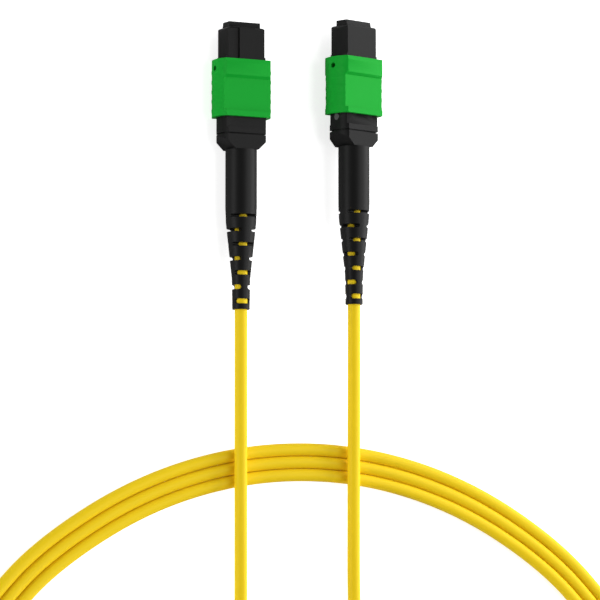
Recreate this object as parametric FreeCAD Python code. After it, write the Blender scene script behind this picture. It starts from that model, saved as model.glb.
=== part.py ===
"""Multi-fibre push-on (MPO) patch cord: two angled-polish plugs on one round cable with a flat coil.

Each plug is built lying along +Y about its own axis, key up (+Z), with y = 0 at the cable end of its
strain-relief boot. The first plug rests key up on the surface z = 0, centred on the origin. The second
lies beside it key down, rolled by the stiff cable until the edge of its coupling sleeve touches down.
"""
import FreeCAD
import Part
import math
import os

from FreeCAD import Rotation, Vector

# ---- cable -------------------------------------------------------------------------------------------
CABLE_D = 3.0
SLIDE_GAP = 0.10  # between pieces that slide in or over each other
SEAT_GAP = 0.05  # between pieces pushed together and kept there

# ---- strain-relief boot ------------------------------------------------------------------------------
BOOT_LENGTH = 37.75
BOOT_TUBE_D = 7.46
BOOT_TIP_D = 4.12
BOOT_NECK_D = 4.32
BOOT_SHOULDER_D = 7.20
BOOT_NECK_Y = 7.1
BOOT_SHOULDER_Y = 20.6
BOOT_TUBE_Y = 24.2
BOOT_BORE_GAP = 0.20
SLOT_LEVELS = 7
SLOT_FIRST_Y = 1.9
SLOT_PITCH = 3.35
SLOT_HEIGHT = 1.18
SLOT_SHRINK = 0.075  # each level towards the plug is this much lower
SLOT_SPINE = 0.34  # half the web left between a level's two slots, as a share of the boot's radius

# ---- rear body and its crimp -------------------------------------------------------------------------
SHELL_FLAT = 9.7  # width of the flat faces of the housing's thick rear part
SHELL_HEIGHT = 6.6
SHELL_BULGE = 1.0  # how far the narrow sides bow out past the flats
COLLAR_LENGTH = 3.4
COLLAR_CHAMFER_X = 2.8
COLLAR_CHAMFER_Y = 2.7
SPLIT_WIDTH = 0.35
SPLIT_DEPTH = 0.35
INSERT_LENGTH = 8.8
POST_D = 4.9
POST_BORE_D = 3.5
POST_LENGTH = 10.8
POST_GROOVES = 2
POST_GROOVE_DEPTH = 0.2
PASSAGE_WIDTH = 4.4
PASSAGE_HEIGHT = 2.2
RING_WALL = 0.45
RING_NECK_WALL = 0.5
RING_NECK_LENGTH = 2.4
RING_TAPER = 0.6
JACKET_GAP = 0.2  # from the cable's cut end to the post

# ---- plug frame --------------------------------------------------------------------------------------
REAR_BAND_LENGTH = 1.3
MID_HEIGHT = 5.6
MID_LENGTH = 12.9
NOSE_WIDTH = 10.0
NOSE_FLAT = 9.5
NOSE_BAND = 2.3  # height of the upright band in the middle of each narrow side
NOSE_LENGTH = 11.0
NOSE_BLEND = 4.0  # how far the full-width root of the nose reaches forward
NOSE_CORNER_R = 1.05
NOSE_EDGE_R = 0.4
LIP_WIDTH = 8.1
LIP_HEIGHT = 3.6
LIP_LENGTH = 1.3
LIP_TAPER = 0.25
KEY_WIDTH = 4.0
KEY_HEIGHT = 0.43
KEY_SETBACK = 0.15
KEY_LENGTH = 11.2
CAVITY_WIDTH = 7.8
CAVITY_HEIGHT = 4.1

# ---- coupling sleeve and its springs -----------------------------------------------------------------
SLEEVE_FLAT = 11.5
SLEEVE_HEIGHT = 7.9
SLEEVE_BULGE = 1.2
SLEEVE_LENGTH = 13.6
SLEEVE_SETBACK = 2.55  # from the frame's rear band to the sleeve, more than the 2.2 it is pulled back
RECESS_DEPTH = 0.6
RECESS_REAR = 1.35
RECESS_FRONT = 3.9
RECESS_RAMP = 0.65
BEVEL_LENGTH = 1.1
BEVEL_DEPTH = 0.12
GRIP_RIBS = 5
GRIP_PITCH = 2.27
GRIP_HEIGHT = 0.08
GRIP_FOOT = 1.2
GRIP_CREST = 0.5
GRIP_FIRST = 2.9  # from the sleeve's front to the middle of the first rib
PEEP_HOLE_D = 1.3
PEEP_HOLE_SETBACK = 2.15
CHANNEL_HEIGHT = 1.6
CHANNEL_DEPTH = 1.35
CHANNEL_FRONT_WALL = 1.0
CHANNEL_LENGTH = 8.1
TOOTH_LENGTH = 0.8
SIDE_SPRING_WIRE = 0.2
SIDE_SPRING_TURNS = 5
SIDE_SPRING_CORNERS = 6

# ---- latch between rear body and frame ---------------------------------------------------------------
LATCH_WIDTH = 3.0
LATCH_LENGTH = 1.4
LATCH_HEIGHT = 0.4
LATCH_REACH = 5.6  # from the split to the front of the latch

# ---- ferrule group -----------------------------------------------------------------------------------
FERRULE_WIDTH = 6.4
FERRULE_HEIGHT = 2.5
FERRULE_LENGTH = 8.0
SHOULDER_WIDTH = 7.0
SHOULDER_HEIGHT = 3.0
SHOULDER_LENGTH = 2.0
FACE_ANGLE = 8.0
FACE_SETBACK = 0.1  # from the lip's front to the most forward edge of the ferrule
GUIDE_HOLE_D = 0.70
GUIDE_PITCH = 4.6
WINDOW_SETBACK = 3.0  # from the ferrule's rear to its adhesive window
WINDOW_LENGTH = 2.6
WINDOW_WIDTH = 3.4
WINDOW_DEPTH = 0.8
RIBBON_WIDTH = 3.1
RIBBON_THICKNESS = 0.3
RIBBON_TAIL = 1.3  # clear of the cable's cut end, more than the ferrule's travel
GROMMET_WIDTH = 4.2
GROMMET_HEIGHT = 1.9
GROMMET_LENGTH = 4.4
KEEPER_LENGTH = 2.6
SPRING_WIRE = 0.5
SPRING_TURNS = 4
SPRING_CORNERS = 12
SPRING_WIDTH = 6.9
SPRING_HEIGHT = 3.7

# ---- cable lay, on the surface z = 0 -----------------------------------------------------------------
PLUG_ROLL = 17.0  # degrees that the stiff cable rolls the second plug
PLUG_SPACING = 29.3
PLUG_OFFSET = 2.3  # how much further forward the second plug lies
COIL_TURNS = 3
COIL_PITCH = 3.0
COIL_CENTRE = Vector(19.8, -130.5, 0)
COIL_LONG_R = 108.6  # radius of the oval's long arcs, to the middle of the three lanes
COIL_SIDE_R = 41.3
COIL_LONG_ANGLE = 45.2  # half of the angle that a long arc turns through
HUMP_Z = 4.95
BEND_SHARE = 0.45  # of the shorter run beside a bend that the bend takes up

# ---- places along a plug, all from the sizes above ---------------------------------------------------
split_y = BOOT_LENGTH + COLLAR_LENGTH + SPLIT_WIDTH
band_end_y = split_y + REAR_BAND_LENGTH
mid_end_y = band_end_y + MID_LENGTH
nose_y = mid_end_y + NOSE_LENGTH
tip_y = nose_y + LIP_LENGTH
sleeve_y = band_end_y + SLEEVE_SETBACK
sleeve_front_y = sleeve_y + SLEEVE_LENGTH
channel_front_y = mid_end_y - CHANNEL_FRONT_WALL
channel_rear_y = channel_front_y - CHANNEL_LENGTH
tooth_y = channel_front_y - SEAT_GAP - TOOTH_LENGTH
ferrule_front_y = tip_y - FACE_SETBACK
ferrule_rear_y = ferrule_front_y - FERRULE_LENGTH
stop_y = ferrule_rear_y + SHOULDER_LENGTH + SEAT_GAP
keeper_y = ferrule_rear_y - KEEPER_LENGTH
window_y = ferrule_rear_y + WINDOW_SETBACK
insert_front_y = split_y + INSERT_LENGTH
latch_front = split_y + LATCH_REACH
post_end_y = BOOT_LENGTH - POST_LENGTH
cable_end_y = post_end_y - JACKET_GAP
ring_d = POST_D + 2 * (SEAT_GAP + RING_WALL)
shell_width = SHELL_FLAT + 2 * SHELL_BULGE
sleeve_arc_r = ((SLEEVE_HEIGHT / 2) ** 2 + SLEEVE_BULGE**2) / (2 * SLEEVE_BULGE)
bore_width = shell_width + 2 * SLIDE_GAP
bore_height = MID_HEIGHT + 2 * SLIDE_GAP
channel_x = shell_width / 2 - CHANNEL_DEPTH
side_spring_d = bore_width / 2 - channel_x - 2 * SLIDE_GAP


# ---- shapes that several pieces use ------------------------------------------------------------------
def block(width, height, y0, y1, x=0.0, z=0.0):
    """A box centred on x and z, from y0 to y1."""
    return Part.makeBox(width, y1 - y0, height, Vector(x - width / 2, y0, z - height / 2))


def rod(diameter, y0, y1, x=0.0, z=0.0):
    """A round bar along Y."""
    return Part.makeCylinder(diameter / 2, y1 - y0, Vector(x, y0, z), Vector(0, 1, 0))


def along_y(points, y0, y1):
    """A prism along Y over an outline of (x, z) points."""
    corners = [Vector(x, y0, z) for x, z in points]
    return Part.Face(Part.makePolygon(corners + corners[:1])).extrude(Vector(0, y1 - y0, 0))


def along_x(points, reach):
    """A prism along X, reaching as far each way, over an outline of (y, z) points."""
    corners = [Vector(-reach, y, z) for y, z in points]
    return Part.Face(Part.makePolygon(corners + corners[:1])).extrude(Vector(2 * reach, 0, 0))


def along_z(points, reach):
    """A prism along Z, reaching as far each way, over an outline of (x, y) points."""
    corners = [Vector(x, y, -reach) for x, y in points]
    return Part.Face(Part.makePolygon(corners + corners[:1])).extrude(Vector(0, 0, 2 * reach))


def arc_sided(flat, height, bulge, y0, y1):
    """A bar along Y with two flat faces and two narrow sides that bow out by bulge."""
    side, top = flat / 2, height / 2
    corner = {(sx, sz): Vector(sx * side, y0, sz * top) for sx in (-1, 1) for sz in (-1, 1)}
    edges = [
        Part.LineSegment(corner[-1, 1], corner[1, 1]).toShape(),
        Part.Arc(corner[1, 1], Vector(side + bulge, y0, 0), corner[1, -1]).toShape(),
        Part.LineSegment(corner[1, -1], corner[-1, -1]).toShape(),
        Part.Arc(corner[-1, -1], Vector(-side - bulge, y0, 0), corner[-1, 1]).toShape(),
    ]
    return Part.Face(Part.Wire(edges)).extrude(Vector(0, y1 - y0, 0))


def rounded_plan(width, y0, y1, radius, reach):
    """A slab across Z whose two front corners are rounded."""
    slab = Part.makeBox(width, y1 - y0, 2 * reach, Vector(-width / 2, y0, -reach))
    front = [e for e in slab.Edges if e.BoundBox.YMin > y1 - radius and e.BoundBox.ZLength > reach]
    return slab.makeFillet(radius, front)


def rounded_profile(height, y0, y1, radius, reach):
    """A slab across X whose two front edges are rounded."""
    slab = Part.makeBox(2 * reach, y1 - y0, height, Vector(-reach, y0, -height / 2))
    front = [e for e in slab.Edges if e.BoundBox.YMin > y1 - radius and e.BoundBox.XLength > reach]
    return slab.makeFillet(radius, front)


def coil_spring(turns, corners, width, height, y0, y1, wire, x=0.0):
    """A compression spring round an axis along Y, wound from square-drawn wire in straight facets."""
    half = wire / 2
    steps = turns * corners
    rings = []
    for i in range(steps + 1):
        angle = 2 * math.pi * i / corners
        y = y0 + half + (y1 - y0 - wire) * i / steps
        ring = []
        for out, ahead in ((-half, -half), (half, -half), (half, half), (-half, half)):
            across = (width / 2 - half + out) * math.cos(angle)
            up = (height / 2 - half + out) * math.sin(angle)
            ring.append(Vector(x + across, y + ahead, up))
        rings.append(ring)
    triangles = []
    for near, far in zip(rings, rings[1:]):
        for k in range(4):
            nxt = (k + 1) % 4
            triangles += [(near[k], near[nxt], far[nxt]), (near[k], far[nxt], far[k])]
    for end in (rings[0], rings[-1]):
        triangles += [end[:3], (end[0], end[2], end[3])]
    faces = [Part.Face(Part.makePolygon([a, b, c, a])) for a, b, c in triangles]
    return Part.Solid(Part.Shell(faces))


# ---- the pieces of one plug --------------------------------------------------------------------------
def boot_slots(level):
    """The two cutters of one level, in from opposite sides to a web, and turned at every level."""
    y = SLOT_FIRST_Y + SLOT_PITCH * level
    half = (SLOT_HEIGHT - SLOT_SHRINK * level) / 2
    reach = BOOT_TUBE_D
    middle = SLOT_SPINE * boot_radius(y) + reach / 2
    if level % 2:
        return [block(reach, 2 * reach, y - half, y + half, x=side * middle) for side in (-1, 1)]
    return [block(2 * reach, reach, y - half, y + half, z=side * middle) for side in (-1, 1)]


def boot_outline():
    """The boot's outside as (y, radius), from its cable end to the plug."""
    return [
        (0, BOOT_TIP_D / 2),
        (BOOT_NECK_Y, BOOT_NECK_D / 2),
        (BOOT_SHOULDER_Y, BOOT_SHOULDER_D / 2),
        (BOOT_TUBE_Y, BOOT_TUBE_D / 2),
        (BOOT_LENGTH, BOOT_TUBE_D / 2),
    ]


def boot_radius(y):
    """The boot's outside radius at a place along it."""
    outline = boot_outline()
    for (y0, r0), (y1, r1) in zip(outline, outline[1:]):
        if y <= y1:
            return r0 + (r1 - r0) * (y - y0) / (y1 - y0)
    return outline[-1][1]


def strain_relief_boot():
    profile = [Vector(0, 0, 0)] + [Vector(r, y, 0) for y, r in boot_outline()] + [Vector(0, BOOT_LENGTH, 0)]
    body = Part.Face(Part.makePolygon(profile + profile[:1])).revolve(Vector(0, 0, 0), Vector(0, 1, 0), 360)
    neck_d = CABLE_D + 2 * (SEAT_GAP + RING_NECK_WALL + SLIDE_GAP)
    hollow = rod(CABLE_D + 2 * BOOT_BORE_GAP, 0, BOOT_LENGTH)
    hollow = hollow.fuse(rod(neck_d, cable_end_y - RING_NECK_LENGTH - SLIDE_GAP, BOOT_LENGTH))
    hollow = hollow.fuse(rod(ring_d + 2 * SLIDE_GAP, cable_end_y - SLIDE_GAP, BOOT_LENGTH))
    return body.cut(hollow).cut([slot for level in range(SLOT_LEVELS) for slot in boot_slots(level)])


def crimp_ring():
    """The stepped metal ring: wide over the post, narrow on the jacket."""
    front = BOOT_LENGTH - SEAT_GAP
    wide = rod(ring_d, cable_end_y, front)
    narrow_d = CABLE_D + 2 * (SEAT_GAP + RING_NECK_WALL)
    neck = rod(narrow_d, cable_end_y - RING_NECK_LENGTH, cable_end_y + RING_TAPER)
    jacket = rod(CABLE_D + 2 * SEAT_GAP, cable_end_y - RING_NECK_LENGTH, cable_end_y + SEAT_GAP)
    inside = rod(POST_D + 2 * SEAT_GAP, cable_end_y + SEAT_GAP, front)
    return wide.fuse(neck).cut(jacket).cut(inside)


def rear_body():
    """Collar, insert with its two latches, and the crimp post behind, moulded as one."""
    collar_front = split_y - SPLIT_WIDTH
    collar = arc_sided(SHELL_FLAT, SHELL_HEIGHT, SHELL_BULGE, BOOT_LENGTH, collar_front)
    side = shell_width / 2
    back = side - COLLAR_CHAMFER_X
    chamfer_y = BOOT_LENGTH + COLLAR_CHAMFER_Y
    plan = [(-side, chamfer_y), (-back, BOOT_LENGTH), (back, BOOT_LENGTH), (side, chamfer_y)]
    collar = collar.common(along_z(plan + [(side, split_y), (-side, split_y)], SHELL_HEIGHT))
    inset = 2 * SPLIT_DEPTH
    neck = arc_sided(SHELL_FLAT - inset, SHELL_HEIGHT - inset, SHELL_BULGE, collar_front, split_y)
    insert_height = CAVITY_HEIGHT - 2 * SEAT_GAP
    insert = block(CAVITY_WIDTH - 2 * SEAT_GAP, insert_height, split_y, insert_front_y)
    top = insert_height / 2
    post = rod(POST_D, post_end_y, BOOT_LENGTH)
    pieces = [neck, insert, post]
    for side_z in (-1, 1):
        wedge = [
            (latch_front - LATCH_LENGTH, side_z * (top - SEAT_GAP)),
            (latch_front - LATCH_LENGTH, side_z * (top + LATCH_HEIGHT)),
            (latch_front, side_z * (top - SEAT_GAP)),
        ]
        pieces.append(along_x(wedge, LATCH_WIDTH / 2))
    body = collar.fuse(pieces)
    pitch = POST_LENGTH / (POST_GROOVES + 1)
    for i in range(POST_GROOVES):
        start = post_end_y + pitch / 2 + pitch * i
        end = start + pitch / 2
        body = body.cut(rod(ring_d, start, end).cut(rod(POST_D - 2 * POST_GROOVE_DEPTH, start, end)))
    body = body.cut(rod(POST_BORE_D, post_end_y, split_y))
    return body.cut(block(PASSAGE_WIDTH, PASSAGE_HEIGHT, BOOT_LENGTH, insert_front_y)).removeSplitter()


def nose():
    """The plug's front: bowed sides, rounded corners, the key on top and the lip round the ferrule."""
    half, flat = NOSE_WIDTH / 2, NOSE_FLAT / 2
    top, band = MID_HEIGHT / 2, NOSE_BAND / 2
    right = [(flat, -top), (half, -band), (half, band), (flat, top)]
    section = right + [(-x, z) for x, z in reversed(right)]
    front = along_y(section, mid_end_y, nose_y)
    front = front.fuse(block(NOSE_WIDTH, MID_HEIGHT, mid_end_y, mid_end_y + NOSE_BLEND))
    front = front.common(rounded_plan(NOSE_WIDTH, mid_end_y, nose_y, NOSE_CORNER_R, MID_HEIGHT))
    front = front.common(rounded_profile(MID_HEIGHT, mid_end_y, nose_y, NOSE_EDGE_R, NOSE_WIDTH))
    lip_top = LIP_HEIGHT / 2
    rim = [(nose_y - NOSE_EDGE_R, -lip_top), (nose_y, -lip_top), (tip_y, LIP_TAPER - lip_top)]
    lip = along_x(rim + [(tip_y, lip_top), (nose_y - NOSE_EDGE_R, lip_top)], LIP_WIDTH / 2)
    key_front = nose_y - KEY_SETBACK
    key = block(KEY_WIDTH, 2 * KEY_HEIGHT, key_front - KEY_LENGTH, key_front, z=top)
    return front.fuse([lip, key])


def plug_frame():
    """The front housing: rear band, body inside the sleeve with its spring channels, and nose."""
    band = arc_sided(SHELL_FLAT, SHELL_HEIGHT, SHELL_BULGE, split_y, band_end_y)
    middle = arc_sided(SHELL_FLAT, SHELL_HEIGHT, SHELL_BULGE, band_end_y, mid_end_y)
    middle = middle.common(block(2 * shell_width, MID_HEIGHT, band_end_y, mid_end_y))
    body = band.fuse([middle, nose()])
    shoulder_cavity = block(
        SHOULDER_WIDTH + 2 * SLIDE_GAP, SHOULDER_HEIGHT + 2 * SLIDE_GAP, keeper_y, stop_y
    )
    mouth = block(FERRULE_WIDTH + 2 * SEAT_GAP, FERRULE_HEIGHT + 2 * SEAT_GAP, stop_y, tip_y)
    cavity = block(CAVITY_WIDTH, CAVITY_HEIGHT, split_y, keeper_y)
    cuts = [shoulder_cavity, mouth, cavity]
    latch_rear = latch_front - LATCH_LENGTH - SEAT_GAP
    cuts.append(block(LATCH_WIDTH + 2 * SLIDE_GAP, MID_HEIGHT, latch_rear, latch_front + SLIDE_GAP))
    for side in (-1, 1):
        middle_x = side * (channel_x + CHANNEL_DEPTH)
        cuts.append(block(2 * CHANNEL_DEPTH, CHANNEL_HEIGHT, channel_rear_y, channel_front_y, x=middle_x))
    return body.cut(cuts).removeSplitter()


def grip_rib(side, index):
    """A low rib across a bowed narrow side of the sleeve, turned about the bow's axis."""
    centre_x = SLEEVE_FLAT / 2 + SLEEVE_BULGE - sleeve_arc_r
    y = sleeve_front_y - GRIP_FIRST - GRIP_PITCH * index
    profile = [
        (sleeve_arc_r - GRIP_HEIGHT, -GRIP_FOOT / 2),
        (sleeve_arc_r, -GRIP_FOOT / 2),
        (sleeve_arc_r + GRIP_HEIGHT, -GRIP_CREST / 2),
    ]
    profile += [(r, -ahead) for r, ahead in reversed(profile)]
    corners = [Vector(side * (centre_x + r), y + ahead, 0) for r, ahead in profile]
    face = Part.Face(Part.makePolygon(corners + corners[:1]))
    ring = face.revolve(Vector(side * centre_x, y, 0), Vector(0, 1, 0), 360)
    height = SLEEVE_HEIGHT - 2 * RECESS_DEPTH
    middle_x = side * (centre_x + sleeve_arc_r)
    return ring.common(block(sleeve_arc_r, height, y - GRIP_FOOT, y + GRIP_FOOT, x=middle_x))


def coupling_sleeve():
    """The sliding grip: recessed wide faces, ribbed narrow sides, and a tooth for each side spring."""
    top = SLEEVE_HEIGHT / 2
    body = arc_sided(SLEEVE_FLAT, SLEEVE_HEIGHT, SLEEVE_BULGE, sleeve_y, sleeve_front_y)
    cuts = []
    for face in (-1, 1):
        recess = [
            (sleeve_y + RECESS_REAR, face * SLEEVE_HEIGHT),
            (sleeve_y + RECESS_REAR, face * (top - RECESS_DEPTH)),
            (sleeve_front_y - RECESS_FRONT - RECESS_RAMP, face * (top - RECESS_DEPTH)),
            (sleeve_front_y - RECESS_FRONT, face * top),
            (sleeve_front_y - RECESS_FRONT, face * SLEEVE_HEIGHT),
        ]
        bevel = [
            (sleeve_front_y - BEVEL_LENGTH, face * top),
            (sleeve_front_y, face * (top - BEVEL_DEPTH)),
            (sleeve_front_y, face * top),
        ]
        cuts += [along_x(recess, shell_width), along_x(bevel, shell_width)]
    bore_flat = SHELL_FLAT + 2 * SLIDE_GAP
    bore = arc_sided(bore_flat, SHELL_HEIGHT + 2 * SLIDE_GAP, SHELL_BULGE, sleeve_y, sleeve_front_y)
    cuts.append(bore.common(block(bore_width, bore_height, sleeve_y, sleeve_front_y)))
    key_room = KEY_WIDTH + 2 * SLIDE_GAP
    key_height = 2 * (KEY_HEIGHT + SLIDE_GAP)
    cuts.append(block(key_room, key_height, sleeve_front_y - RECESS_FRONT, sleeve_front_y, z=MID_HEIGHT / 2))
    hole_y = sleeve_front_y - PEEP_HOLE_SETBACK
    hole_start = Vector(-shell_width, hole_y, 0)
    hole = Part.makeCylinder(PEEP_HOLE_D / 2, 2 * shell_width, hole_start, Vector(1, 0, 0))
    body = body.cut(cuts)
    tooth_width = bore_width / 2 - channel_x - SLIDE_GAP + SLEEVE_BULGE / 2
    tooth_height = CHANNEL_HEIGHT - 2 * SLIDE_GAP
    added = [grip_rib(side, i) for side in (-1, 1) for i in range(GRIP_RIBS)]
    for side in (-1, 1):
        x = side * (channel_x + SLIDE_GAP + tooth_width / 2)
        added.append(block(tooth_width, tooth_height, tooth_y, tooth_y + TOOTH_LENGTH, x=x))
    return body.fuse(added).cut(hole).removeSplitter()


def sleeve_springs():
    """The two small springs in the frame's side channels, one on each narrow side."""
    centre = channel_x + SLIDE_GAP + side_spring_d / 2
    springs = []
    for side in (-1, 1):
        springs.append(
            coil_spring(
                SIDE_SPRING_TURNS,
                SIDE_SPRING_CORNERS,
                side_spring_d,
                side_spring_d,
                channel_rear_y,
                tooth_y,
                SIDE_SPRING_WIRE,
                x=side * centre,
            )
        )
    return Part.makeCompound(springs)


def mt_ferrule():
    """The moulded ferrule: shouldered block, two guide holes, adhesive window and the angled end face."""
    body = block(FERRULE_WIDTH, FERRULE_HEIGHT, ferrule_rear_y, ferrule_front_y)
    shoulder_end = ferrule_rear_y + SHOULDER_LENGTH
    body = body.fuse(block(SHOULDER_WIDTH, SHOULDER_HEIGHT, ferrule_rear_y, shoulder_end))
    top = FERRULE_HEIGHT / 2
    drop = FERRULE_HEIGHT * math.tan(math.radians(FACE_ANGLE))
    face = [(ferrule_front_y, -top), (ferrule_front_y - drop, top), (ferrule_front_y, top)]
    window = block(WINDOW_WIDTH, 2 * WINDOW_DEPTH, window_y, window_y + WINDOW_LENGTH, z=top)
    holes = [
        rod(GUIDE_HOLE_D, ferrule_rear_y, ferrule_front_y, x=side * GUIDE_PITCH / 2) for side in (-1, 1)
    ]
    slot = block(RIBBON_WIDTH, RIBBON_THICKNESS, ferrule_rear_y, window_y)
    return body.cut([along_x(face, FERRULE_WIDTH), window, slot] + holes).removeSplitter()


def ferrule_grommet():
    """The soft sleeve that guides the ribbon into the back of the ferrule."""
    body = block(GROMMET_WIDTH, GROMMET_HEIGHT, ferrule_rear_y - GROMMET_LENGTH, ferrule_rear_y)
    return body.cut(block(RIBBON_WIDTH, RIBBON_THICKNESS, ferrule_rear_y - GROMMET_LENGTH, ferrule_rear_y))


def pin_keeper():
    """The open-topped clip behind the ferrule that the main spring pushes on."""
    body = block(SHOULDER_WIDTH, SHOULDER_HEIGHT, keeper_y, ferrule_rear_y)
    room = GROMMET_HEIGHT + 2 * SEAT_GAP
    slot_height = SHOULDER_HEIGHT / 2 + room / 2
    slot = block(
        GROMMET_WIDTH + 2 * SEAT_GAP, slot_height, keeper_y, ferrule_rear_y, z=slot_height / 2 - room / 2
    )
    return body.cut(slot)


def main_spring():
    """The oval spring round the ribbon, between the rear body and the pin keeper."""
    return coil_spring(
        SPRING_TURNS, SPRING_CORNERS, SPRING_WIDTH, SPRING_HEIGHT, insert_front_y, keeper_y, SPRING_WIRE
    )


def fibre_ribbon():
    """The flat ribbon from the ferrule back into the post."""
    return block(RIBBON_WIDTH, RIBBON_THICKNESS, cable_end_y + RIBBON_TAIL, window_y)


# ---- the cable ---------------------------------------------------------------------------------------
def oval(offset):
    """The coil's four-arc oval, moved out from the middle of its lanes by offset."""
    half = math.radians(COIL_LONG_ANGLE)
    side_shift = (COIL_LONG_R - COIL_SIDE_R) * math.sin(half)
    long_shift = (COIL_LONG_R - COIL_SIDE_R) * math.cos(half)
    arcs = (
        (Vector(side_shift, 0, 0), COIL_SIDE_R, half - math.pi / 2, math.pi / 2 - half),
        (Vector(0, -long_shift, 0), COIL_LONG_R, math.pi / 2 - half, math.pi / 2 + half),
        (Vector(-side_shift, 0, 0), COIL_SIDE_R, math.pi / 2 + half, 3 * math.pi / 2 - half),
        (Vector(0, long_shift, 0), COIL_LONG_R, 3 * math.pi / 2 - half, 3 * math.pi / 2 + half),
    )
    edges = []
    for centre, radius, start, end in arcs:
        middle = (start + end) / 2
        points = [
            COIL_CENTRE + centre + Vector(math.cos(a), math.sin(a), 0) * (radius + offset)
            for a in (start, middle, end)
        ]
        edges.append(Part.Arc(*points).toShape())
    return Part.Wire(edges)


def cable_coil():
    """The coil as one closed solid, its turns side by side on the surface."""
    half = ((COIL_TURNS - 1) * COIL_PITCH + CABLE_D) / 2
    return Part.Face([oval(half), oval(-half)]).extrude(Vector(0, 0, CABLE_D))


def cable_run(name, points):
    """A round cable along straight runs joined by tangent bends, each as large as its two runs allow."""
    pieces = []
    start = points[0]
    length = 0.0
    for before, corner, after in zip(points, points[1:], points[2:]):
        ahead, onward = corner - before, after - corner
        shorter = min(ahead.Length, onward.Length)
        turn = ahead.getAngle(onward)
        reach = BEND_SHARE * shorter
        radius = reach / math.tan(turn / 2)
        bend_start = corner - ahead.normalize() * reach
        axis = ahead.cross(onward)
        centre = bend_start + axis.cross(ahead).normalize() * radius
        run = (bend_start - start).Length
        pieces.append(Part.makeCylinder(CABLE_D / 2, run, start, ahead))
        section = Part.Face(Part.Wire([Part.makeCircle(CABLE_D / 2, bend_start, ahead)]))
        pieces.append(section.revolve(centre, axis, math.degrees(turn)))
        length += run + radius * turn
        start = corner + onward.normalize() * reach
        print(f"{name}: turn {math.degrees(turn):5.1f} deg, radius {radius:7.1f} mm")
    last = points[-1] - start
    pieces.append(Part.makeCylinder(CABLE_D / 2, last.Length, start, last))
    length += last.Length
    cable = pieces[0].fuse(pieces[1:])
    share = cable.Volume / (math.pi * (CABLE_D / 2) ** 2 * length)
    print(f"{name}: length {length:.1f} mm, volume over section times length {share:.4f}")
    return cable


FLOOR_Z = CABLE_D / 2
rest_z = SLEEVE_HEIGHT / 2
roll = math.radians(PLUG_ROLL)
rolled_z = SLEEVE_FLAT / 2 * math.sin(roll) + SLEEVE_HEIGHT / 2 * math.cos(roll)
centre_y = tip_y / 2

# from inside the first boot, over the coil, down to the surface and into the coil's inner lane
ROUTE_A = [
    Vector(0, cable_end_y - centre_y, rest_z),
    Vector(0, -42.0, rest_z),
    Vector(-0.6, -79.0, 5.2),
    Vector(1.3, -112.0, FLOOR_Z),
    Vector(1.4, -148.0, FLOOR_Z),
    Vector(-12.6, -172.4, FLOOR_Z),
    Vector(-34.8, -174.2, FLOOR_Z),
    Vector(-47.4, -164.6, FLOOR_Z),
]
# from the coil's outer lane, up over the two inner lanes, round and back over the coil to the second boot
ROUTE_B = [
    Vector(111.6, -135.1, FLOOR_Z),
    Vector(108.6, -147.1, 2.4),
    Vector(98.5, -161.5, HUMP_Z),
    Vector(78.0, -164.0, HUMP_Z),
    Vector(48.0, -154.0, FLOOR_Z),
    Vector(32.6, -129.0, FLOOR_Z),
    Vector(31.2, -103.0, FLOOR_Z),
    Vector(29.4, -80.0, HUMP_Z),
    Vector(PLUG_SPACING, -42.0, rolled_z),
    Vector(PLUG_SPACING, cable_end_y - centre_y + PLUG_OFFSET, rolled_z),
]

# ---- placing and writing -----------------------------------------------------------------------------
PLUG_PIECES = {
    "strain_relief_boot": strain_relief_boot,
    "crimp_ring": crimp_ring,
    "rear_body": rear_body,
    "plug_frame": plug_frame,
    "coupling_sleeve": coupling_sleeve,
    "sleeve_springs": sleeve_springs,
    "mt_ferrule": mt_ferrule,
    "ferrule_grommet": ferrule_grommet,
    "pin_keeper": pin_keeper,
    "main_spring": main_spring,
    "fibre_ribbon": fibre_ribbon,
}
PLACES = {
    "a": FreeCAD.Placement(Vector(0, -centre_y, rest_z), Rotation()),
    "b": FreeCAD.Placement(
        Vector(PLUG_SPACING, PLUG_OFFSET - centre_y, rolled_z), Rotation(Vector(0, 1, 0), 180 + PLUG_ROLL)
    ),
}

os.makedirs("parts", exist_ok=True)
for piece, build in PLUG_PIECES.items():
    shape = build()
    for end, place in PLACES.items():
        placed = shape.copy()
        placed.Placement = place.multiply(placed.Placement)
        placed.exportStep(f"parts/{piece}_{end}.step")
cable_coil().exportStep("parts/cable_coil.step")
cable_run("cable_leg_a", ROUTE_A).exportStep("parts/cable_leg_a.step")
cable_run("cable_leg_b", ROUTE_B).exportStep("parts/cable_leg_b.step")
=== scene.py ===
"""Multi-fibre push-on patch cord: two keyed plugs, their slotted boots and one coiled yellow cable.

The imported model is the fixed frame. Plugs are made about their own axis, key up, with y = 0 at the cable end
of the boot, and are then placed where the frame has them.
"""
import math

import bmesh
import bpy
from bpy.props import FloatProperty, FloatVectorProperty, IntProperty, PointerProperty
from bpy.types import Operator, Panel, PropertyGroup
from mathutils import Matrix, Vector


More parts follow.
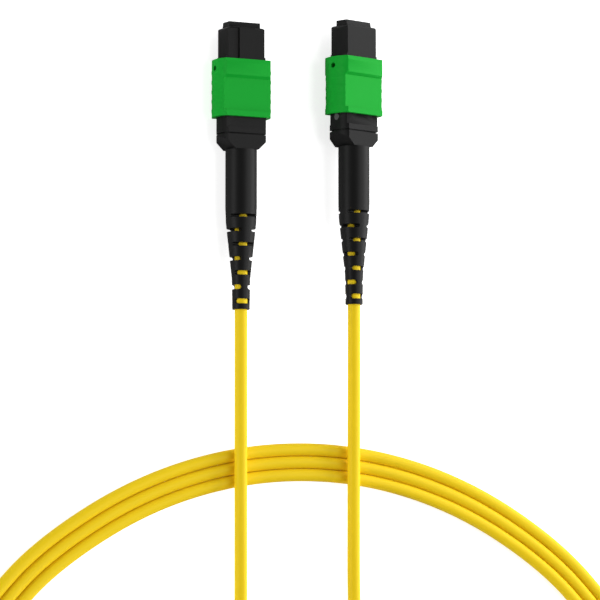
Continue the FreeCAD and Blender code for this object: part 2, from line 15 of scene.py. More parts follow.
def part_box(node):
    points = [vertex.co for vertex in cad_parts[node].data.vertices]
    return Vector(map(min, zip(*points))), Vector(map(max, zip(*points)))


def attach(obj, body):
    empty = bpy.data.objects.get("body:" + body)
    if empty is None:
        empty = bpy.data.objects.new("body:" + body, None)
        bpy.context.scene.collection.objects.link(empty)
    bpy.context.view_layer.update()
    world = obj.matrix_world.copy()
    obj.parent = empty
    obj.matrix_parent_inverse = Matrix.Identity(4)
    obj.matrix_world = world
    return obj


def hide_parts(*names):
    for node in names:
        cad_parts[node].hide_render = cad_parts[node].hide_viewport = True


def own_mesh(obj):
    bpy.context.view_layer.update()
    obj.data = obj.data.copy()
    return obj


bl_info = {
    "name": "Multi-fibre patch cord",
    "version": (1, 0, 0),
    "blender": (4, 5, 0),
    "location": "View3D > Sidebar > Patch Cord",
    "description": "Dresses a two-plug multi-fibre patch cord and lays its cable in a flat coil",
    "category": "Object",
}

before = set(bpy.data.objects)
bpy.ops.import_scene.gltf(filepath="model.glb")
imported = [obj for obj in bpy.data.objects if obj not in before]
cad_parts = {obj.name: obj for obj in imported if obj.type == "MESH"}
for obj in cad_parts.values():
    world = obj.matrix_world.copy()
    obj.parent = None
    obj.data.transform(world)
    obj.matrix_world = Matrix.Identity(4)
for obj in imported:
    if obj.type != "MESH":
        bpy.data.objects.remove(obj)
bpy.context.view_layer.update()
MM = 0.001
ENDS = ("a", "b")
PLUG_ROLL = 17.0  # degrees that the second plug lies off level, key down
KEY_TURN = {"a": 0.0, "b": math.radians(180 + PLUG_ROLL)}  # about each plug's own axis
HOUSING_BODY = "housings_and_cable"


def axis_of(node):
    """The x and z of a round node's axis, from its box."""
    low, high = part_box(node)
    return (low.x + high.x) / 2, (low.z + high.z) / 2


def place_of(end):
    """The matrix that takes a plug's own coordinates to where the frame has that plug."""
    x, z = axis_of(f"crimp_ring_{end}")
    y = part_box(f"strain_relief_boot_{end}")[0].y
    return Matrix.Translation((x, y, z)) @ Matrix.Rotation(KEY_TURN[end], 4, "Y")


def along_plug(node):
    """Where a node of the first plug starts and ends, along the plug's own axis."""
    low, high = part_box(node)
    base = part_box("strain_relief_boot_a")[0].y
    return low.y - base, high.y - base


JACKET_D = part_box("cable_coil")[1].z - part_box("cable_coil")[0].z
BOOT_LENGTH = along_plug("strain_relief_boot_a")[1]
BOOT_RADIUS = (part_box("strain_relief_boot_a")[1].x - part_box("strain_relief_boot_a")[0].x) / 2
BOOT_FACETS = 96
RING_GAP = 0.1 * MM  # between the boot's bore and the crimp ring
RING_NECK_BORE = 2.15 * MM  # inside radius of the boot over the ring's narrow end
RING_NECK_LENGTH = 2.3 * MM
SLOT_REACH = 8.0  # in slot heights, enough to clear the boot
FRAME_BULGE = 1.0 * MM  # how far the plug frame's narrow sides bow out
FRAME_HALF_HEIGHT = 3.3 * MM
DOT_LIFT = 0.012 * MM  # how proud of the frame the ink stands
DOT_DEPTH = 0.05 * MM
DOT_CORNERS = 40
SHARP_ANGLE = math.radians(32)  # edges that turn more than this stay crisp or get a bevel
FLAT_ANGLE = math.radians(0.6)  # facets that turn less than this are one flat
MERGE_DISTANCE = 0.002 * MM


# ---- sizes and colours -------------------------------------------------------------------------------
class CordSizes(PropertyGroup):
    """The cable, its coil and its lay."""

    jacket_diameter: FloatProperty(
        name="Jacket diameter",
        description="Outer diameter of the round cable",
        default=JACKET_D,
        unit="LENGTH",
    )
    coil_turns: IntProperty(name="Coil turns", description="Turns that lie side by side", default=3, min=1)
    lane_pitch: FloatProperty(
        name="Lane pitch", description="From one turn's middle to the next", default=3.0 * MM, unit="LENGTH"
    )
    long_radius: FloatProperty(
        name="Long arc radius",
        description="Radius of the oval's two long arcs",
        default=108.6 * MM,
        unit="LENGTH",
    )
    side_radius: FloatProperty(
        name="Side arc radius",
        description="Radius of the oval's two side arcs",
        default=41.3 * MM,
        unit="LENGTH",
    )
    long_angle: FloatProperty(
        name="Long arc half angle",
        description="Half of the angle that each long arc turns through",
        default=math.radians(45.2),
        subtype="ANGLE",
    )
    points_per_turn: IntProperty(
        name="Points per turn", description="Control points in one turn of the coil", default=24, min=12
    )


class BootSizes(PropertyGroup):
    """The slotted strain-relief boot."""

    tip_radius: FloatProperty(
        name="Tip radius", description="Outside radius at the cable end", default=2.06 * MM, unit="LENGTH"
    )
    neck_radius: FloatProperty(
        name="Neck radius",
        description="Outside radius where the cone begins",
        default=2.16 * MM,
        unit="LENGTH",
    )
    neck_y: FloatProperty(
        name="Neck place", description="From the cable end to the cone", default=7.1 * MM, unit="LENGTH"
    )
    shoulder_radius: FloatProperty(
        name="Shoulder radius",
        description="Outside radius at the cone's wide end",
        default=3.6 * MM,
        unit="LENGTH",
    )
    shoulder_y: FloatProperty(
        name="Shoulder place",
        description="From the cable end to the shoulder",
        default=20.6 * MM,
        unit="LENGTH",
    )
    tube_y: FloatProperty(
        name="Tube place",
        description="From the cable end to the plain tube",
        default=24.2 * MM,
        unit="LENGTH",
    )
    bore_radius: FloatProperty(
        name="Bore radius", description="Inside radius round the cable", default=1.7 * MM, unit="LENGTH"
    )
    slot_levels: IntProperty(
        name="Slot levels", description="Pairs of slots along the boot", default=7, min=1
    )
    slot_first: FloatProperty(
        name="First slot", description="From the cable end to the first pair", default=1.9 * MM, unit="LENGTH"
    )
    slot_pitch: FloatProperty(
        name="Slot pitch", description="From one pair of slots to the next", default=3.35 * MM, unit="LENGTH"
    )
    slot_height: FloatProperty(
        name="Slot height", description="Height of the first pair of slots", default=1.18 * MM, unit="LENGTH"
    )
    slot_shrink: FloatProperty(
        name="Slot shrink", description="How much lower each next pair is", default=0.075 * MM, unit="LENGTH"
    )
    spine: FloatProperty(
        name="Spine",
        description="Half width of the web between the first slots",
        default=0.66 * MM,
        unit="LENGTH",
    )
    spine_growth: FloatProperty(
        name="Spine growth", description="How much wider each next web is", default=0.095 * MM, unit="LENGTH"
    )
    edge_radius: FloatProperty(
        name="Edge radius",
        description="Chamfer of the rim at the cable end",
        default=0.06 * MM,
        unit="LENGTH",
    )


class PlugSizes(PropertyGroup):
    """Edge rounding of the moulded pieces, the travels, and the dot on the frame."""

    housing_edge: FloatProperty(
        name="Housing edge", description="Rounding of the black housings", default=0.07 * MM, unit="LENGTH"
    )
    sleeve_edge: FloatProperty(
        name="Sleeve edge", description="Rounding of the coupling sleeves", default=0.10 * MM, unit="LENGTH"
    )
    ferrule_edge: FloatProperty(
        name="Ferrule edge", description="Rounding of the ferrules", default=0.04 * MM, unit="LENGTH"
    )
    sleeve_travel: FloatProperty(
        name="Sleeve travel", description="How far a sleeve is pulled back", default=2.2 * MM, unit="LENGTH"
    )
    ferrule_travel: FloatProperty(
        name="Ferrule travel", description="How far a ferrule is pushed back", default=1.0 * MM, unit="LENGTH"
    )
    dot_diameter: FloatProperty(
        name="Dot diameter", description="The mark beside fibre one", default=1.55 * MM, unit="LENGTH"
    )
    dot_setback: FloatProperty(
        name="Dot place",
        description="From the sleeve's rear to the dot's middle",
        default=0.8 * MM,
        unit="LENGTH",
    )


class CordColours(PropertyGroup):
    """Base colours of the finishes."""

    jacket: FloatVectorProperty(
        name="Jacket", description="Cable jacket", default=(0.92, 0.655, 0.014), subtype="COLOR", min=0, max=1
    )
    sleeve: FloatVectorProperty(
        name="Sleeve",
        description="Coupling sleeves",
        default=(0.007, 0.37, 0.030),
        subtype="COLOR",
        min=0,
        max=1,
    )
    housing: FloatVectorProperty(
        name="Housing",
        description="Plug frames and rear bodies",
        default=(0.006, 0.006, 0.006),
        subtype="COLOR",
    )
    boot: FloatVectorProperty(
        name="Boot", description="Strain-relief boots", default=(0.006, 0.006, 0.006), subtype="COLOR"
    )
    dot: FloatVectorProperty(
        name="Dot", description="Mark beside fibre one", default=(0.09, 0.09, 0.09), subtype="COLOR"
    )
    ferrule: FloatVectorProperty(
        name="Ferrule", description="Moulded ferrules", default=(0.05, 0.05, 0.055), subtype="COLOR"
    )


# ---- shader graphs -----------------------------------------------------------------------------------
class Value:
    """A node's output. Adding to it or multiplying it adds a Math node."""

    def __init__(self, graph, socket):
        self.graph = graph
        self.socket = socket

    def _math(self, operation, first, second):
        return self.graph.add("ShaderNodeMath", {"operation": operation}, {0: first, 1: second})

    def __add__(self, other):
        return self._math("ADD", self, other)

    def __mul__(self, other):
        return self._math("MULTIPLY", self, other)


class Graph:
    """The node tree of one material."""

    def __init__(self, name):
        self.material = bpy.data.materials.new(name)
        self.material.use_nodes = True
        self.tree = self.material.node_tree
        self.tree.nodes.clear()

    def add(self, kind, settings=None, inputs=None, output=0):
        """A node with its settings, then the values or links of its sockets; gives one of its outputs."""
        node = self.tree.nodes.new(kind)
        for key, value in (settings or {}).items():
            if key == "stops":
                ramp = node.color_ramp
                while len(ramp.elements) < len(value):
                    ramp.elements.new(0.5)
                for element, (place, colour) in zip(ramp.elements, value):
                    element.position = place
                    element.color = (*colour, 1)
            else:
                setattr(node, key, value)
        for key, value in (inputs or {}).items():
            if isinstance(value, Value):
                self.tree.links.new(value.socket, node.inputs[key])
            else:
                node.inputs[key].default_value = value
        return Value(self, node.outputs[output]) if node.outputs else None

    def coordinates(self, stretch=(1, 1, 1)):
        """Object coordinates, stretched."""
        place = self.add("ShaderNodeTexCoord", output="Object")
        return self.add("ShaderNodeMapping", {}, {"Vector": place, "Scale": stretch})

    def noise(self, size, detail=2.0, stretch=(1, 1, 1)):
        """Soft noise whose blobs are about as large as size, in metres."""
        return self.add(
            "ShaderNodeTexNoise",
            {},
            {"Vector": self.coordinates(stretch), "Scale": 1 / size, "Detail": detail},
        )

    def tint(self, colour, value, spread):
        """The colour, made up to spread lighter and darker by a value from 0 to 1."""
        light = [min(1.0, c * (1 + spread)) for c in colour]
        dark = [c * (1 - spread) for c in colour]
        mixed = self.add(
            "ShaderNodeMix",
            {"data_type": "RGBA"},
            {"Factor": value, 6: (*dark, 1), 7: (*light, 1)},
            output=2,
        )
        return mixed

    def bump(self, height, strength, distance):
        return self.add(
            "ShaderNodeBump", {}, {"Height": height, "Strength": strength, "Distance": distance}
        )

    def finish(self, **inputs):
        """The Principled shader on the material's output."""
        named = {key.replace("_", " "): value for key, value in inputs.items()}
        shader = self.add("ShaderNodeBsdfPrincipled", {}, named)
        self.add("ShaderNodeOutputMaterial", {}, {"Surface": shader})
        return self.material


def moulded(name, colour, roughness, grain=0.10 * MM, relief=0.006 * MM, spread=0.08, specular=0.095):
    """Moulded plastic: a fine spark-eroded grain, soft flow marks and slightly uneven gloss."""
    graph = Graph(name)
    flow = graph.noise(7 * MM, 3.0, (1, 0.35, 1))
    texture = graph.noise(grain, 4.0)
    return graph.finish(
        Base_Color=graph.tint(colour, flow, spread),
        Roughness=flow * 0.10 + texture * 0.08 + (roughness - 0.09),
        Specular_IOR_Level=specular,
        Normal=graph.bump(texture, 0.5, relief),
    )


def jacket_plastic(colour):
    """Extruded cable jacket: smooth, with fine pits and a little unevenness."""
    graph = Graph("cable_jacket")
    tone = graph.noise(9 * MM, 2.0)
    pits = graph.noise(0.35 * MM, 3.0)
    return graph.finish(
        Base_Color=graph.tint(colour, tone, 0.03),
        Roughness=tone * 0.08 + 0.36,
        Specular_IOR_Level=0.08,
        Normal=graph.bump(pits, 0.15, 0.006 * MM),
    )


def drawn_metal(name, colour, roughness):
    """Drawn or turned metal with fine lines along the plug."""
    graph = Graph(name)
    lines = graph.noise(0.12 * MM, 3.0, (1, 0.08, 1))
    return graph.finish(
        Base_Color=graph.tint(colour, lines, 0.10),
        Metallic=1.0,
        Roughness=lines * 0.15 + roughness,
        Normal=graph.bump(lines, 0.3, 0.004 * MM),
    )


def filled_resin(colour):
    """Glass-filled ferrule resin: fine pale specks in a dark ground."""
    graph = Graph("ferrule_resin")
    specks = graph.noise(0.05 * MM, 3.0)
    ground = graph.noise(1.2 * MM, 2.0)
    speckled = graph.add(
        "ShaderNodeValToRGB",
        {"stops": [(0.0, colour), (0.62, colour), (0.72, [c * 2.2 for c in colour])]},
        {"Fac": specks},
    )
    return graph.finish(
        Base_Color=speckled,
        Roughness=ground * 0.12 + 0.26,
        Normal=graph.bump(specks, 0.2, 0.003 * MM),
    )


def bonded_ribbon():
    """Bonded fibres: fine stripes along the ribbon under a clear matrix."""
    graph = Graph("fibre_ribbon")
    stripes = graph.add(
        "ShaderNodeTexWave",
        {"wave_type": "BANDS", "bands_direction": "X", "wave_profile": "SIN"},
        {"Vector": graph.coordinates(), "Scale": 620.0, "Distortion": 0.0},
        output=1,
    )
    colour = graph.add(
        "ShaderNodeValToRGB",
        {"stops": [(0.0, (0.16, 0.36, 0.42)), (0.5, (0.32, 0.62, 0.66)), (1.0, (0.62, 0.82, 0.84))]},
        {"Fac": stripes},
    )
    return graph.finish(Base_Color=colour, Roughness=0.28, Normal=graph.bump(stripes, 0.4, 0.03 * MM))


# ---- meshes ------------------------------------------------------------------------------------------
def new_object(name, data):
    made = bpy.data.objects.new(name, data)
    bpy.context.scene.collection.objects.link(made)
    return made


def plain_mesh(made, name):
    """The object as its modifiers leave it, as one plain mesh."""
    graph = bpy.context.evaluated_depsgraph_get()
    data = bpy.data.meshes.new_from_object(made.evaluated_get(graph))
    data.name = name
    made.modifiers.clear()
    made.data = data
    return made


def smooth(data, angle=SHARP_ANGLE):
    """Smooth shading with edges sharper than the angle left crisp."""
    data.shade_smooth()
    data.set_sharp_from_angle(angle=angle)


def dress(piece, material, body, node):
    """Gives a finished piece its material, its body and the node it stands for."""
    piece.data.materials.clear()
    piece.data.materials.append(material)
    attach(piece, body)
    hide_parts(node)


def eased_copy(node, name, radius):
    """A node's own form with its doubles merged, its flats joined and its edges rounded."""
    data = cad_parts[node].data.copy()
    data.name = name
    mesh = bmesh.new()
    mesh.from_mesh(data)
    bmesh.ops.remove_doubles(mesh, verts=mesh.verts, dist=MERGE_DISTANCE)
    bmesh.ops.dissolve_limit(
        mesh, angle_limit=FLAT_ANGLE, verts=mesh.verts, edges=mesh.edges, use_dissolve_boundaries=False
    )
    bmesh.ops.recalc_face_normals(mesh, faces=mesh.faces)
    mesh.to_mesh(data)
    mesh.free()
    data.materials.clear()
    smooth(data)
    made = new_object(name, data)
    bevel = made.modifiers.new("edges", "BEVEL")
    bevel.width = radius
    bevel.segments = 2
    bevel.limit_method = "ANGLE"
    bevel.angle_limit = SHARP_ANGLE
    bevel.miter_outer = "MITER_ARC"
    bevel.harden_normals = True
    return plain_mesh(made, name)


def revolved(name, outline, bore, steps):
    """A tube round the Y axis from (y, radius) points outside and (y, radius) points inside."""
    mesh = bmesh.new()
    loop = outline + bore[::-1]
    rings = []
    for k in range(steps):
        angle = 2 * math.pi * k / steps
        rings.append([mesh.verts.new((r * math.cos(angle), y, r * math.sin(angle))) for y, r in loop])
    for near, far in zip(rings, rings[1:] + rings[:1]):
        for i in range(len(loop)):
            j = (i + 1) % len(loop)
            mesh.faces.new((near[i], near[j], far[j], far[i]))
    bmesh.ops.recalc_face_normals(mesh, faces=mesh.faces)
    data = bpy.data.meshes.new(name)
    mesh.to_mesh(data)
    mesh.free()
    return new_object(name, data)


def slot_cutter(name, reach, steps=12):
    """A slab as high as 1 along Y whose lower end, at z = 0, is fully round; it reaches up and across."""
    profile = [(-0.5, reach), (-0.5, 0.5)]
    for k in range(1, steps):
        angle = math.pi * k / steps
        profile.append((-0.5 * math.cos(angle), 0.5 - 0.5 * math.sin(angle)))
    profile += [(0.5, 0.5), (0.5, reach)]
    mesh = bmesh.new()
    sides = [[mesh.verts.new((x, y, z)) for y, z in profile] for x in (-reach, reach)]
    mesh.faces.new(sides[0])
    mesh.faces.new(sides[1][::-1])
    for i in range(len(profile)):
        j = (i + 1) % len(profile)
        mesh.faces.new((sides[0][i], sides[0][j], sides[1][j], sides[1][i]))
    bmesh.ops.recalc_face_normals(mesh, faces=mesh.faces)
    data = bpy.data.meshes.new(name)
    mesh.to_mesh(data)
    mesh.free()
    return new_object(name, data)


# ---- geometry nodes ----------------------------------------------------------------------------------
class NodeTree:
    """A geometry node tree with named inputs, built one node at a time."""

    def __init__(self, name, inputs):
        self.tree = bpy.data.node_groups.new(name, "GeometryNodeTree")
        sockets = self.tree.interface
        sockets.new_socket("Geometry", in_out="INPUT", socket_type="NodeSocketGeometry")
        sockets.new_socket("Geometry", in_out="OUTPUT", socket_type="NodeSocketGeometry")
        self.identifiers = {}
        for label, kind in inputs:
            made = sockets.new_socket(label, in_out="INPUT", socket_type=kind)
            self.identifiers[label] = made.identifier
        self.start = self.tree.nodes.new("NodeGroupInput")
        self.end = self.tree.nodes.new("NodeGroupOutput")

    def given(self, label):
        return self.start.outputs[label]

    def add(self, kind, settings=None, inputs=None, output=0):
        node = self.tree.nodes.new(kind)
        for key, value in (settings or {}).items():
            setattr(node, key, value)
        for key, value in (inputs or {}).items():
            if isinstance(value, bpy.types.NodeSocket):
                self.tree.links.new(value, node.inputs[key])
            elif isinstance(value, list):
                for socket in value:
                    self.tree.links.new(socket, node.inputs[key])
            else:
                node.inputs[key].default_value = value
        return node.outputs[output]

    def math(self, operation, first, second):
        return self.add("ShaderNodeMath", {"operation": operation}, {0: first, 1: second})

    def on(self, made, values):
        """Puts the tree on an object with its inputs set by identifier, and gives the object."""
        modifier = made.modifiers.new(self.tree.name, "NODES")
        modifier.node_group = self.tree
        for label, value in values.items():
            modifier[self.identifiers[label]] = value
        return made


def slot_tree():
    """Cuts pairs of slots into a tube along Y, each pair turned a quarter from the one before."""
    tree = NodeTree(
        "boot_slots",
        (
            ("Cutter", "NodeSocketObject"),
            ("Levels", "NodeSocketInt"),
            ("First", "NodeSocketFloat"),
            ("Pitch", "NodeSocketFloat"),
            ("Height", "NodeSocketFloat"),
            ("Shrink", "NodeSocketFloat"),
            ("Spine", "NodeSocketFloat"),
            ("Spine Growth", "NodeSocketFloat"),
            ("Material", "NodeSocketMaterial"),
        ),
    )
    index = tree.add("GeometryNodeInputIndex")
    start = tree.add("ShaderNodeCombineXYZ", {}, {"Y": tree.given("First")})
    step = tree.add("ShaderNodeCombineXYZ", {}, {"Y": tree.given("Pitch")})
    levels = tree.add(
        "GeometryNodeMeshLine",
        {"mode": "OFFSET"},
        {"Count": tree.given("Levels"), "Start Location": start, "Offset": step},
    )
    quarter = tree.math("MULTIPLY", tree.math("MODULO", index, 2.0), math.pi / 2)
    height = tree.math("SUBTRACT", tree.given("Height"), tree.math("MULTIPLY", index, tree.given("Shrink")))
    spine = tree.math("ADD", tree.given("Spine"), tree.math("MULTIPLY", index, tree.given("Spine Growth")))
    cutter = tree.add("GeometryNodeObjectInfo", {}, {"Object": tree.given("Cutter")}, output="Geometry")
    sides = []
    for half_turn in (0.0, math.pi):
        turn = tree.add("ShaderNodeCombineXYZ", {}, {"Y": tree.math("ADD", quarter, half_turn)})
        placed = tree.add(
            "GeometryNodeInstanceOnPoints",
            {},
            {"Points": levels, "Instance": cutter, "Rotation": turn},
        )
        moved = tree.add(
            "GeometryNodeTranslateInstances",
            {},
            {"Instances": placed, "Translation": tree.add("ShaderNodeCombineXYZ", {}, {"Z": spine})},
        )
        size = tree.add("ShaderNodeCombineXYZ", {}, {"X": height, "Y": height, "Z": height})
        sides.append(tree.add("GeometryNodeScaleInstances", {}, {"Instances": moved, "Scale": size}))
    joined = tree.add("GeometryNodeJoinGeometry", {}, {"Geometry": sides[::-1]})
    cutters = tree.add("GeometryNodeRealizeInstances", {}, {"Geometry": joined})
    cut = tree.add(
        "GeometryNodeMeshBoolean",
        {"operation": "DIFFERENCE", "solver": "EXACT"},
        {"Mesh 1": tree.given("Geometry"), "Mesh 2": cutters},
    )
    real = tree.add("GeometryNodeRealizeInstances", {}, {"Geometry": cut})
    dressed = tree.add(
        "GeometryNodeSetMaterial", {}, {"Geometry": real, "Material": tree.given("Material")}
    )
    tree.tree.links.new(dressed, tree.end.inputs["Geometry"])
    return tree


# ---- operators ---------------------------------------------------------------------------------------
class CORD_OT_boots(Operator):
    """Makes the slotted boots of both plugs"""

    bl_idname = "patch_cord.boots"
    bl_label = "Strain-relief boots"

    def execute(self, context):
        sizes = context.scene.boot_sizes
        material = moulded("boot_plastic", context.scene.cord_colours.boot, 0.46, specular=0.14)
        ring_low = along_plug("crimp_ring_a")[0]
        ring_radius = (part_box("crimp_ring_a")[1].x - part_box("crimp_ring_a")[0].x) / 2
        outline = [
            (0.0, sizes.tip_radius - sizes.edge_radius),
            (sizes.edge_radius, sizes.tip_radius),
            (sizes.neck_y, sizes.neck_radius),
            (sizes.shoulder_y, sizes.shoulder_radius),
            (sizes.tube_y, BOOT_RADIUS),
            (BOOT_LENGTH, BOOT_RADIUS),
        ]
        wide_y = ring_low + RING_NECK_LENGTH
        bore = [
            (0.0, sizes.bore_radius),
            (ring_low - RING_GAP, sizes.bore_radius),
            (ring_low - RING_GAP, RING_NECK_BORE),
            (wide_y, RING_NECK_BORE),
            (wide_y, ring_radius + RING_GAP),
            (BOOT_LENGTH, ring_radius + RING_GAP),
        ]
        cutter = slot_cutter("slot_cutter", SLOT_REACH)
        tree = slot_tree()
        for end in ENDS:
            name = f"boot_{end}"
            boot = tree.on(
                revolved(name, outline, bore, BOOT_FACETS),
                {
                    "Cutter": cutter,
                    "Levels": sizes.slot_levels,
                    "First": sizes.slot_first,
                    "Pitch": sizes.slot_pitch,
                    "Height": sizes.slot_height,
                    "Shrink": sizes.slot_shrink,
                    "Spine": sizes.spine,
                    "Spine Growth": sizes.spine_growth,
                    "Material": material,
                },
            )
            plain_mesh(boot, name)
            smooth(boot.data)
            boot.data.transform(place_of(end))
            dress(boot, material, HOUSING_BODY, f"strain_relief_boot_{end}")
        bpy.data.objects.remove(cutter)
        return {"FINISHED"}


class CORD_OT_housings(Operator):
    """Makes the black plug frames and rear bodies with rounded edges"""

    bl_idname = "patch_cord.housings"
    bl_label = "Plug frames and rear bodies"

    def execute(self, context):
        radius = context.scene.plug_sizes.housing_edge
        material = moulded("housing_plastic", context.scene.cord_colours.housing, 0.42)
        for end in ENDS:
            for node in ("plug_frame", "rear_body"):
                piece = eased_copy(f"{node}_{end}", f"{node}_moulding_{end}", radius)
                dress(piece, material, HOUSING_BODY, f"{node}_{end}")
        return {"FINISHED"}


class CORD_OT_sleeves(Operator):
    """Makes the green coupling sleeves with rounded edges"""

    bl_idname = "patch_cord.sleeves"
    bl_label = "Coupling sleeves"

    def execute(self, context):
        radius = context.scene.plug_sizes.sleeve_edge
        colour = context.scene.cord_colours.sleeve
        material = moulded("sleeve_plastic", colour, 0.45, spread=0.03, specular=0.05)
        for end in ENDS:
            piece = eased_copy(f"coupling_sleeve_{end}", f"sleeve_moulding_{end}", radius)
            dress(piece, material, f"sleeve_{end}", f"coupling_sleeve_{end}")
        return {"FINISHED"}


class CORD_OT_ferrules(Operator):
    """Makes the ferrules with eased edges"""

    bl_idname = "patch_cord.ferrules"
    bl_label = "Ferrules"

    def execute(self, context):
        radius = context.scene.plug_sizes.ferrule_edge
        material = filled_resin(context.scene.cord_colours.ferrule)
        for end in ENDS:
            piece = eased_copy(f"mt_ferrule_{end}", f"ferrule_moulding_{end}", radius)
            dress(piece, material, f"ferrule_{end}", f"mt_ferrule_{end}")
        return {"FINISHED"}


class CORD_OT_springs(Operator):
    """Makes the springs as steel copies of the spring nodes"""

    bl_idname = "patch_cord.springs"
    bl_label = "Springs"

    def execute(self, context):
        sizes = context.scene.plug_sizes
        steel = drawn_metal("spring_steel", (0.62, 0.62, 0.63), 0.22)
        for end in ENDS:
            for node, joint, travel in (
                ("sleeve_springs", f"sleeve_{end}_slide", sizes.sleeve_travel),
                ("main_spring", f"ferrule_{end}_slide", sizes.ferrule_travel),
            ):
                wire = new_object(f"{node}_wire_{end}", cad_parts[f"{node}_{end}"].data.copy())
                dress(wire, steel, HOUSING_BODY, f"{node}_{end}")
                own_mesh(wire)
        return {"FINISHED"}


class CORD_OT_inner_pieces(Operator):
    """Gives the pieces inside the plugs their finishes"""

    bl_idname = "patch_cord.inner_pieces"
    bl_label = "Inner pieces"

    def execute(self, context):
        finishes = {
            "crimp_ring": drawn_metal("crimp_metal", (0.72, 0.72, 0.74), 0.30),
            "pin_keeper": drawn_metal("keeper_steel", (0.62, 0.62, 0.63), 0.24),
            "ferrule_grommet": moulded("grommet_rubber", (0.035, 0.035, 0.035), 0.7, spread=0.15),
            "fibre_ribbon": bonded_ribbon(),
        }
        for end in ENDS:
            for node, material in finishes.items():
                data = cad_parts[f"{node}_{end}"].data
                data.materials.clear()
                data.materials.append(material)
        return {"FINISHED"}


class CORD_OT_dots(Operator):
    """Makes the mark beside fibre one on each plug frame"""

    bl_idname = "patch_cord.dots"
    bl_label = "Fibre-one dots"

    def execute(self, context):
        sizes = context.scene.plug_sizes
        material = moulded("dot_ink", context.scene.cord_colours.dot, 0.5, spread=0.05)
        side = (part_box("plug_frame_a")[1].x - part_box("plug_frame_a")[0].x) / 2
        arc_radius = (FRAME_HALF_HEIGHT**2 + FRAME_BULGE**2) / (2 * FRAME_BULGE)
        middle_y = along_plug("coupling_sleeve_a")[0] - sizes.dot_setback
        for end in ENDS:
            mesh = bmesh.new()
            centre = mesh.verts.new((side + DOT_LIFT, middle_y, 0))
            rim = []
            for k in range(DOT_CORNERS):
                angle = 2 * math.pi * k / DOT_CORNERS
                y = middle_y + sizes.dot_diameter / 2 * math.cos(angle)
                z = sizes.dot_diameter / 2 * math.sin(angle)
                x = side - arc_radius + math.sqrt(arc_radius**2 - z * z) + DOT_LIFT
                rim.append(mesh.verts.new((x, y, z)))
            for near, far in zip(rim, rim[1:] + rim[:1]):
                mesh.faces.new((centre, near, far))
            skirt = bmesh.ops.extrude_edge_only(mesh, edges=[e for e in mesh.edges if e.is_boundary])
            low = [v for v in skirt["geom"] if isinstance(v, bmesh.types.BMVert)]
            bmesh.ops.translate(mesh, verts=low, vec=(-DOT_DEPTH, 0, 0))
            bmesh.ops.holes_fill(mesh, edges=[e for e in mesh.edges if e.is_boundary])
            bmesh.ops.recalc_face_normals(mesh, faces=mesh.faces)
            data = bpy.data.meshes.new(f"dot_{end}")
            mesh.to_mesh(data)
            mesh.free()
            data.transform(place_of(end))
            dot = new_object(f"dot_{end}", data)
            dot.data.materials.append(material)
            smooth(dot.data)
            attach(dot, HOUSING_BODY)
        return {"FINISHED"}


LEG_A = [
    (0, -7.25, 3.95),
    (0, -42.0, 3.95),
    (-0.6, -79.0, 5.2),
    (1.3, -112.0, 1.5),
    (1.4, -148.0, 1.5),
    (-12.6, -172.4, 1.5),
    (-34.8, -174.2, 1.5),
    (-47.4, -164.6, 1.5),
]
LEG_B = [
    (111.6, -135.1, 1.5),
    (108.6, -147.1, 2.4),
    (98.5, -161.5, 4.95),
    (78.0, -164.0, 4.95),
    (48.0, -154.0, 1.5),
    (32.6, -129.0, 1.5),
    (31.2, -103.0, 1.5),
    (29.4, -80.0, 4.95),
    (29.3, -42.0, 5.458),
    (29.3, -4.95, 5.458),
]
COIL_START = math.radians(233.3)  # where the first leg joins the inner lane, as the normal's angle
COIL_END = math.radians(-6.0)  # where the last turn leaves the outer lane
SHIFT_FROM, SHIFT_TO = math.radians(-60.0), math.radians(-126.7)  # where each turn moves out by a lane


def oval_point(sizes, centre, angle, offset):
    """The point of the coil's oval whose normal has that angle, moved out by offset, lying on the surface."""
    wrapped = math.remainder(angle, 2 * math.pi)
    gap = sizes.long_radius - sizes.side_radius
    side = gap * math.sin(sizes.long_angle)
    long = gap * math.cos(sizes.long_angle)
    quarter = math.pi / 2 - sizes.long_angle
    if abs(wrapped) <= quarter:
        middle, radius = Vector((side, 0)), sizes.side_radius
    elif abs(wrapped) >= math.pi - quarter:
        middle, radius = Vector((-side, 0)), sizes.side_radius
    else:
        middle, radius = Vector((0, -math.copysign(long, wrapped))), sizes.long_radius
    step = 2 * math.pi / sizes.points_per_turn
    reach = (radius + offset) * 4 / (3 + math.cos(step))
    flat = centre + middle + Vector((math.cos(angle), math.sin(angle))) * reach
    return (flat.x, flat.y, sizes.jacket_diameter / 2)


def coil_points(sizes):
    """The control points of the coil's turns, clockwise from the inner lane to the outer one."""
    low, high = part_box("cable_coil")
    centre = Vector(((low.x + high.x) / 2, (low.y + high.y) / 2))
    step = 2 * math.pi / sizes.points_per_turn
    last = COIL_END - 2 * math.pi * (sizes.coil_turns - 1)
    count = int((COIL_START - last) / step)
    points = []
    for k in range(1, count + 1):
        angle = COIL_START - step * k
        lane = 0.0
        for turn in range(sizes.coil_turns - 1):
            begun = (SHIFT_FROM - 2 * math.pi * turn - angle) / (SHIFT_FROM - SHIFT_TO)
            share = min(1.0, max(0.0, begun))
            lane += share * share * (3 - 2 * share)
        offset = (lane - (sizes.coil_turns - 1) / 2) * sizes.lane_pitch
        points.append(oval_point(sizes, centre, angle, offset))
    return points


